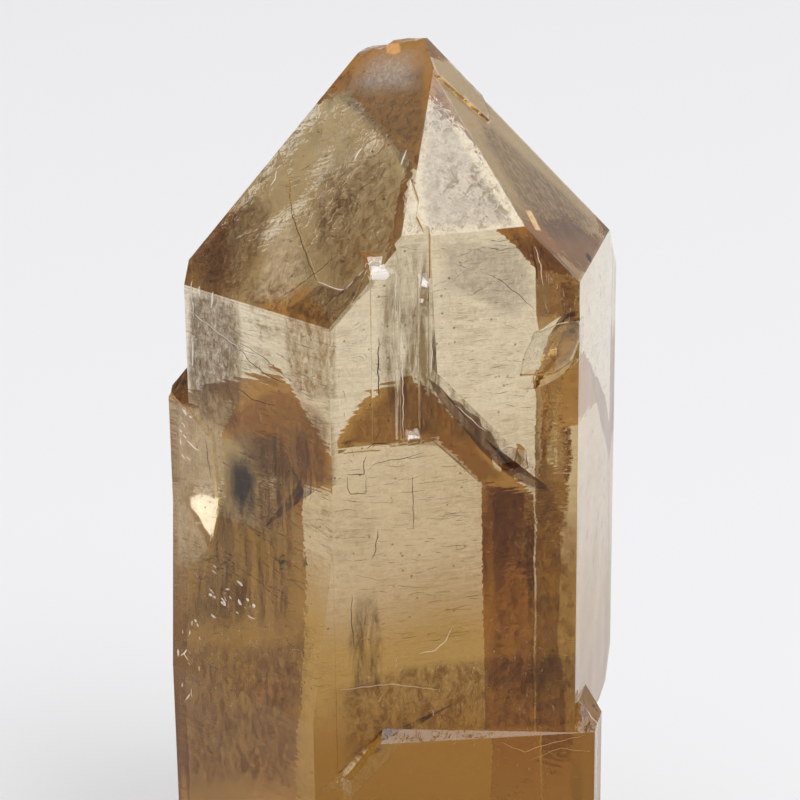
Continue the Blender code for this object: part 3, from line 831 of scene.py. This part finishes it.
# A patch: face, its corners, marks, angle, spread of the angle, length, width, seed of the generator.
BROWN_PATCHES = [
    ("front", [(346, 440), (478, 440), (480, 640), (346, 640)], 110, LEVEL, 9, (6, 34), (0.6, 1.3), 1),
    ("front", [(440, 300), (540, 300), (545, 440), (470, 390)], 30, LEVEL, 12, (5, 24), (0.6, 1.4), 2),
    ("front", [(434, 236), (540, 236), (530, 300), (434, 300)], 34, LEVEL, 20, (4, 22), (0.6, 1.4), 3),
    ("front", [(340, 300), (385, 290), (380, 440), (336, 480)], 30, 70, 40, (4, 16), (0.6, 1.3), 4),
    ("left", [(192, 300), (330, 340), (330, 430), (192, 400)], 90, LEFT_LEVEL, 14, (4, 26), (0.6, 1.5), 5),
    ("left", [(180, 430), (330, 480), (320, 700), (180, 690)], 90, LEFT_LEVEL, 18, (4, 22), (0.6, 1.3), 6),
    ("left", [(236, 500), (300, 510), (300, 606), (236, 590)], 60, 30, 7, (8, 40), (0.7, 2.2), 21),
    ("left", [(182, 530), (214, 536), (212, 580), (182, 576)], 36, 8, 16, (4, 14), (0.7, 1.6), 22),
    ("left", [(250, 400), (330, 420), (332, 484), (262, 470)], 50, 24, 8, (6, 26), (0.6, 1.4), 23),
    ("left end", [(290, 170), (410, 110), (400, 250), (260, 290)], 80, -30, 45, (4, 14), (0.7, 1.6), 7),
    ("front end", [(432, 100), (450, 110), (515, 225), (428, 225)], 60, -40, 50, (3, 12), (0.5, 1.2), 8),
    ("right", [(586, 300), (606, 260), (606, 640), (588, 680)], 50, 90, 7, (4, 16), (0.6, 1.3), 9),
]
PALE_PATCHES = [
    ("front", [(330, 640), (590, 600), (590, 798), (330, 798)], 60, -6, 24, (2, 14), (0.4, 0.9), 11),
    ("left", [(180, 560), (262, 550), (262, 690), (180, 690)], 40, 30, 50, (1, 5), (0.9, 2.6), 12),
    ("left", [(180, 430), (330, 480), (320, 700), (180, 690)], 50, LEFT_LEVEL, 12, (2, 18), (0.4, 0.9), 13),
    ("front", [(485, 480), (580, 520), (580, 700), (485, 700)], 30, -6, 24, (2, 10), (0.4, 0.9), 14),
    ("front", [(530, 250), (578, 262), (578, 322), (530, 322)], 18, 80, 14, (3, 12), (0.8, 2.0), 15),
    ("left end", [(290, 130), (410, 80), (400, 250), (240, 290)], 40, -40, 30, (2, 10), (0.5, 1.3), 16),
    ("right end", [(450, 110), (480, 120), (600, 235), (560, 240)], 24, 45, 14, (2, 12), (0.5, 1.1), 17),
]
# Painted glints: short bright flecks that glow by themselves.
GLINT_FLECK_PATCHES = [
    ("left", [(205, 564), (252, 566), (256, 624), (212, 616)], 20, 58, 12, (3, 10), (1.6, 4.0), 31),
    ("left", [(174, 620), (200, 620), (200, 700), (174, 700)], 14, 70, 20, (3, 9), (1.2, 3.4), 32),
    ("left", [(176, 410), (192, 410), (192, 470), (180, 470)], 10, 60, 12, (3, 9), (1.2, 3.0), 33),
]
for name, material, patches, wobble in (("brown_marks", scratch, BROWN_PATCHES, 0.3),
                                        ("painted_glint_flecks", painted_glint, GLINT_FLECK_PATCHES, 0.8),
                                        ("pale_marks", fleck, PALE_PATCHES, 0.3)):
    marks = [mark for patch in patches for mark in scatter(*patch)]
    print(name, ribbon_piece(name, material, marks, steps=8, wobble=wobble))

# %% [markdown]
# A few cracks stand open, and the air in them mirrors like silver at a low angle. Each is a thin
# closed pocket cut out of the stone: its two walls face each other, so the stone's own material
# makes the mirror, and the pocket is joined to the crystal's mesh.

# %% Open cracks
def air_pocket(outline, face, depth, tilt, gap=0.10, around=72, rings=14, seed=1):
    """Two flaw sheets gap * sqrt(1 - r * r) apart, closed at the rim, with faces towards the air."""
    points, faces, r = flaw_sheet(outline, face, depth, rings, around, wave=0.10, cell=5.0,
                                  tilt=tilt, seed=seed)
    normal = face_direction(*FACES[face])
    half = (gap / 2.0 * MM) * np.sqrt(np.maximum(1.0 - r * r, 0.0))
    inner = r < 0.999
    order = np.cumsum(inner) - 1
    below = np.where(inner, len(points) + order, np.arange(len(points)))
    outer_wall = points + normal * half[:, None]
    inner_wall = (points - normal * half[:, None])[inner]
    flipped = [tuple(int(below[k]) for k in reversed(corners)) for corners in faces]
    return np.vstack([outer_wall, inner_wall]), [tuple(corners) for corners in faces] + flipped


OPEN_CRACKS = [    # face, depth mm, tilt mm per 40 picture points, outline in picture points
    ("front", 1.6, -2.2, [(517, 373), (522, 350), (532, 330), (556, 322), (584, 320), (585, 342),
                          (574, 366), (552, 376)]),
    ("left end", 2.2, 1.5, [(362, 150), (366, 143), (378, 137), (387, 138), (386, 148), (376, 156),
                            (366, 158)]),
    ("front", 2.2, 1.8, [(496, 452), (508, 444), (526, 450), (528, 466), (514, 474), (498, 468)]),
]
for number, (face, depth, tilt, outline) in enumerate(OPEN_CRACKS):
    points, faces = air_pocket(outline, face, depth, tilt, seed=number + 60)
    mesh = bpy.data.meshes.new("pocket")
    mesh.from_pydata(points.tolist(), [], faces)
    bm = bmesh.new()
    bm.from_mesh(mesh)
    bmesh.ops.recalc_face_normals(bm, faces=bm.faces)
    bmesh.ops.reverse_faces(bm, faces=bm.faces)
    bm.to_mesh(mesh)
    bm.free()
    mesh.shade_smooth()
    mesh.materials.append(crystal.data.materials[0])
    pocket = bpy.data.objects.new("pocket", mesh)
    bpy.context.scene.collection.objects.link(pocket)
    with bpy.context.temp_override(active_object=crystal, selected_editable_objects=[crystal, pocket],
                                   selected_objects=[crystal, pocket], object=crystal):
        bpy.ops.object.join()
print("stone and its open cracks:", len(crystal.data.polygons), "faces")

# %% [markdown]
# The crystal was sawn off flat to stand. A sawn face is matt, and its soft golden glow is painted
# light: the sheet glows by itself where light that runs down inside the stone would come back from
# it instead of slipping out.

# %% Sawn base
def base_sheet(rings=20, around=96, gap=0.4):
    """The base outline pulled in towards its middle, a little above the floor."""
    on_base = surface_points[surface_points[:, 2] < ON_BASE][:, :2]
    middle = (on_base.min(axis=0) + on_base.max(axis=0)) / 2.0
    turns = np.linspace(0.0, 2.0 * math.pi, around, endpoint=False)
    spokes = np.column_stack([np.cos(turns), np.sin(turns)])
    # Furthest base point along each spoke, then the convex outline through those supports.
    reach = ((on_base - middle) @ spokes.T).max(axis=0)
    radius = np.min(reach[None, :] / np.maximum(spokes @ spokes.T, 1e-3), axis=1)
    r = np.linspace(0.0, 0.985, rings)[1:]
    ring = middle + r[:, None, None] * (spokes * radius[:, None])
    flat = np.vstack([middle, ring.reshape(-1, 2)])
    return np.column_stack([flat, np.full(len(flat), gap * MM)]), disc_faces(rings, around)


# Painted light: the sawn sheet glows by itself.
sawn = bubbles("sawn quartz with painted glow", "#dcd1b8", 1.5, (1, 1, 1), 15.0, 0.0, 0.1, painted_glow=0.42)
points, faces = base_sheet()
add_piece("sawn_base_painted_glow", points, faces, sawn, {"inside": np.ones(len(points))})
print("sawn base points:", len(points))

# %% [markdown]
# The crystal stands on matt card. Its colour is painted a little greyer in front of the crystal
# than behind it: painted shade, which fades out across the middle of the crystal. A clear stone
# has no colour of its own surface: what it shows is the floor and the room, bent towards the eye,
# so the card and the room matter as much as the stone's material does.

# %% Floor
FLOOR = 4.0
AWAY = (math.sin(TURN_LEFT), math.cos(TURN_LEFT), 0.0)      # level, away from the camera
SHADED_CARD_IN_FRONT, CARD_BEHIND = "#c4c0b6", "#f2f2f3"
SHADE_FADE_FROM, SHADE_FADE_TO = -0.10, 0.04       # metres along AWAY, across the middle of the crystal, where the painted shade fades


def floor_sheet():
    mesh = bpy.data.meshes.new("floor")
    corners = [(-FLOOR, -FLOOR, 0), (FLOOR, -FLOOR, 0), (FLOOR, FLOOR, 0), (-FLOOR, FLOOR, 0)]
    mesh.from_pydata([Vector(c) + Vector((0, 0, -0.1 * MM)) for c in corners], [], [(0, 1, 2, 3)])
    sheet = bpy.data.objects.new("floor", mesh)
    bpy.context.scene.collection.objects.link(sheet)
    mat = bpy.data.materials.new("matt white card with painted shade in front")
    mat.use_nodes = True
    tree = mat.node_tree
    place = node(tree, "ShaderNodeTexCoord")
    behind = node(tree, "ShaderNodeVectorMath", {"operation": "DOT_PRODUCT"}, _0=place.outputs["Object"])
    behind.inputs[1].default_value = AWAY
    shade_fade = node(tree, "ShaderNodeMapRange", {"interpolation_type": "SMOOTHSTEP"},
                Value=behind.outputs["Value"], From_Min=SHADE_FADE_FROM, From_Max=SHADE_FADE_TO)
    # Painted shade: the card is greyer in front of the crystal and white behind it.
    shade = node(tree, "ShaderNodeMix", {"data_type": "RGBA"}, Factor=shade_fade.outputs[0],
                 A=linear(SHADED_CARD_IN_FRONT), B=linear(CARD_BEHIND))
    tree.links.new(shade.outputs["Result"], tree.nodes["Principled BSDF"].inputs["Base Color"])
    tree.nodes["Principled BSDF"].inputs["Roughness"].default_value = 1.0
    mesh.materials.append(mat)
    return sheet


print("floor:", floor_sheet().name, 2 * FLOOR, "m across")

# %% [markdown]
# One large softbox stands high at the right and in front, so the right side is the brightest and
# shadows stay soft. It gives every face a broad reflection instead of a hard spot.

# %% Softbox
BOX_AZIMUTH, BOX_ELEVATION = math.radians(42.0) - TURN_LEFT, math.radians(52.0)
box_direction = Vector((math.sin(BOX_AZIMUTH) * math.cos(BOX_ELEVATION),
                        -math.cos(BOX_AZIMUTH) * math.cos(BOX_ELEVATION), math.sin(BOX_ELEVATION)))
BOX_DISTANCE = 3.0
BOX_SIZE = 1.6
BOX_RADIANCE = 3.3
softbox = bpy.data.lights.new("softbox", "AREA")
softbox.size = BOX_SIZE
softbox.energy = BOX_RADIANCE * math.pi * BOX_SIZE ** 2
box = bpy.data.objects.new("softbox", softbox)
box.location = AIM + box_direction * BOX_DISTANCE
box.rotation_euler = box_direction.to_track_quat("Z", "Y").to_euler()
bpy.context.scene.collection.objects.link(box)
print("softbox:", BOX_SIZE, "m wide at", BOX_DISTANCE, "m")

# %% [markdown]
# The room is brighter behind the crystal than behind the camera, and brightest overhead. A clear
# stone needs that difference: in even light from all sides it would look flat and empty.

# %% Room
ROOM_IN_FRONT, ROOM_BEHIND, ROOM_OVERHEAD = 0.12, 0.55, 1.27      # brightness, overhead comes on top

world = bpy.data.worlds.new("studio")
bpy.context.scene.world = world
world.use_nodes = True
tree = world.node_tree
tree.nodes.clear()
place = node(tree, "ShaderNodeTexCoord")
behind = node(tree, "ShaderNodeVectorMath", {"operation": "DOT_PRODUCT"}, _0=place.outputs["Generated"])
behind.inputs[1].default_value = AWAY
back = node(tree, "ShaderNodeMapRange", {"interpolation_type": "SMOOTHSTEP"},
            Value=behind.outputs["Value"], From_Min=-0.30, From_Max=0.40, To_Min=ROOM_IN_FRONT,
            To_Max=ROOM_BEHIND)
parts = node(tree, "ShaderNodeSeparateXYZ", Vector=place.outputs["Generated"])
high = node(tree, "ShaderNodeMapRange", {"interpolation_type": "SMOOTHSTEP"}, Value=parts.outputs["Z"],
            From_Min=0.62, From_Max=0.95, To_Max=ROOM_OVERHEAD)
strength = node(tree, "ShaderNodeMath", {"operation": "ADD"}, _0=back.outputs[0], _1=high.outputs[0])
sky = node(tree, "ShaderNodeBackground", Color=(1.0, 1.0, 1.01, 1.0), Strength=strength.outputs[0])
node(tree, "ShaderNodeOutputWorld", Surface=sky.outputs[0])

# Light crosses many faces before it leaves the stone, so the paths may be long.
scene = bpy.context.scene
scene.view_settings.view_transform = "Standard"
scene.cycles.max_bounces = 16
scene.cycles.glossy_bounces = 12
scene.cycles.transmission_bounces = 16
scene.cycles.transparent_max_bounces = 20
scene.cycles.use_denoising = True
print("the room is", round(ROOM_BEHIND / ROOM_IN_FRONT, 1), "times as bright behind as in front")
